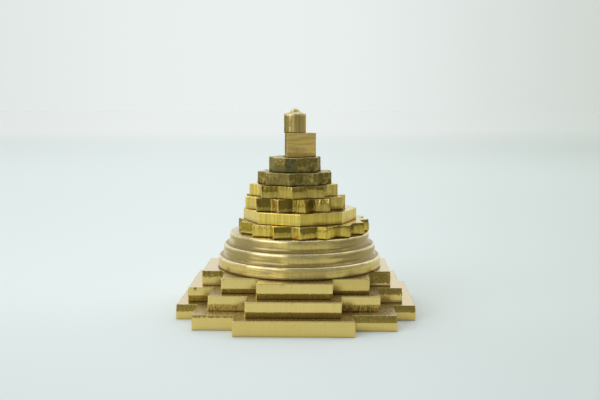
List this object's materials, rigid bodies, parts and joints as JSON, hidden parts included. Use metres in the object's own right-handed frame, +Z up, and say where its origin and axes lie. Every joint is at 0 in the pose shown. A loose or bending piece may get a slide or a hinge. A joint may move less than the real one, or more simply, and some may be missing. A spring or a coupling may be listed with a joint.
{
  "type": "meru shri yantra",
  "caption": "Stepped brass yantra pyramid: gated square plates, ringed drum, petal and star plates and a triangle stacked on one rod under a small turned finial; stands on its flat base.",
  "frame": {"origin": "centre of the underside of the lower square plate", "axes": "+Z up through the stack, -Y towards the pictured front, +X to its right"},
  "size_m": [0.051, 0.051, 0.0446],
  "materials": {
    "square_brass": "cut plate, edges filed bright, tops rough",
    "drum_brass": "turned, fine turning lines",
    "petal_brass": "cut plate with vertical saw marks",
    "star_brass": "cut plate with vertical saw marks",
    "dark_star_brass": "cut plate, tarnished dark",
    "finial_brass": "filed, fine scratches",
    "hardware_brass": "turned, plain"
  },
  "bodies": {
    "base": {"lower_square_plate": "square_brass", "middle_square_plate": "square_brass", "upper_square_plate": "square_brass", "dowel_pins": "hardware_brass", "ring_drum": "drum_brass", "tie_rod": "hardware_brass", "rod_nut": "hardware_brass", "rod_washer": "hardware_brass"},
    "sixteen_petals": {"petal_plate_16": "petal_brass"},
    "eight_petals": {"petal_plate_8": "petal_brass"},
    "fourteen_points": {"star_plate_14": "star_brass"},
    "outer_ten_points": {"star_plate_outer_10": "star_brass"},
    "inner_ten_points": {"star_plate_inner_10": "dark_star_brass"},
    "eight_points": {"star_plate_8": "dark_star_brass"},
    "triangle": {"triangle_block": "finial_brass"},
    "finial": {"bindu_finial": "finial_brass"}
  },
  "joints": [
    {"name": "sixteen_petals_turn", "type": "hinge", "parent": "base", "child": "sixteen_petals", "pos_m": [-0.0004, 0, 0.0187], "axis": [0, 0, 1], "continuous": true},
    {"name": "eight_petals_turn", "type": "hinge", "parent": "base", "child": "eight_petals", "pos_m": [-0.0004, 0, 0.0213], "axis": [0, 0, 1], "continuous": true},
    {"name": "fourteen_points_turn", "type": "hinge", "parent": "base", "child": "fourteen_points", "pos_m": [-0.0004, 0, 0.024], "axis": [0, 0, 1], "continuous": true},
    {"name": "outer_ten_points_turn", "type": "hinge", "parent": "base", "child": "outer_ten_points", "pos_m": [-0.0004, 0, 0.0267], "axis": [0, 0, 1], "continuous": true},
    {"name": "inner_ten_points_turn", "type": "hinge", "parent": "base", "child": "inner_ten_points", "pos_m": [-0.0004, 0, 0.0294], "axis": [0, 0, 1], "continuous": true},
    {"name": "eight_points_turn", "type": "hinge", "parent": "base", "child": "eight_points", "pos_m": [-0.0004, 0, 0.0324], "axis": [0, 0, 1], "continuous": true},
    {"name": "triangle_turn", "type": "hinge", "parent": "base", "child": "triangle", "pos_m": [-0.0004, 0, 0.0366], "axis": [0, 0, 1], "continuous": true},
    {"name": "finial_screw", "type": "hinge", "parent": "base", "child": "finial", "pos_m": [-0.0004, 0, 0.0413], "axis": [0, 0, 1], "continuous": true}
  ]
}
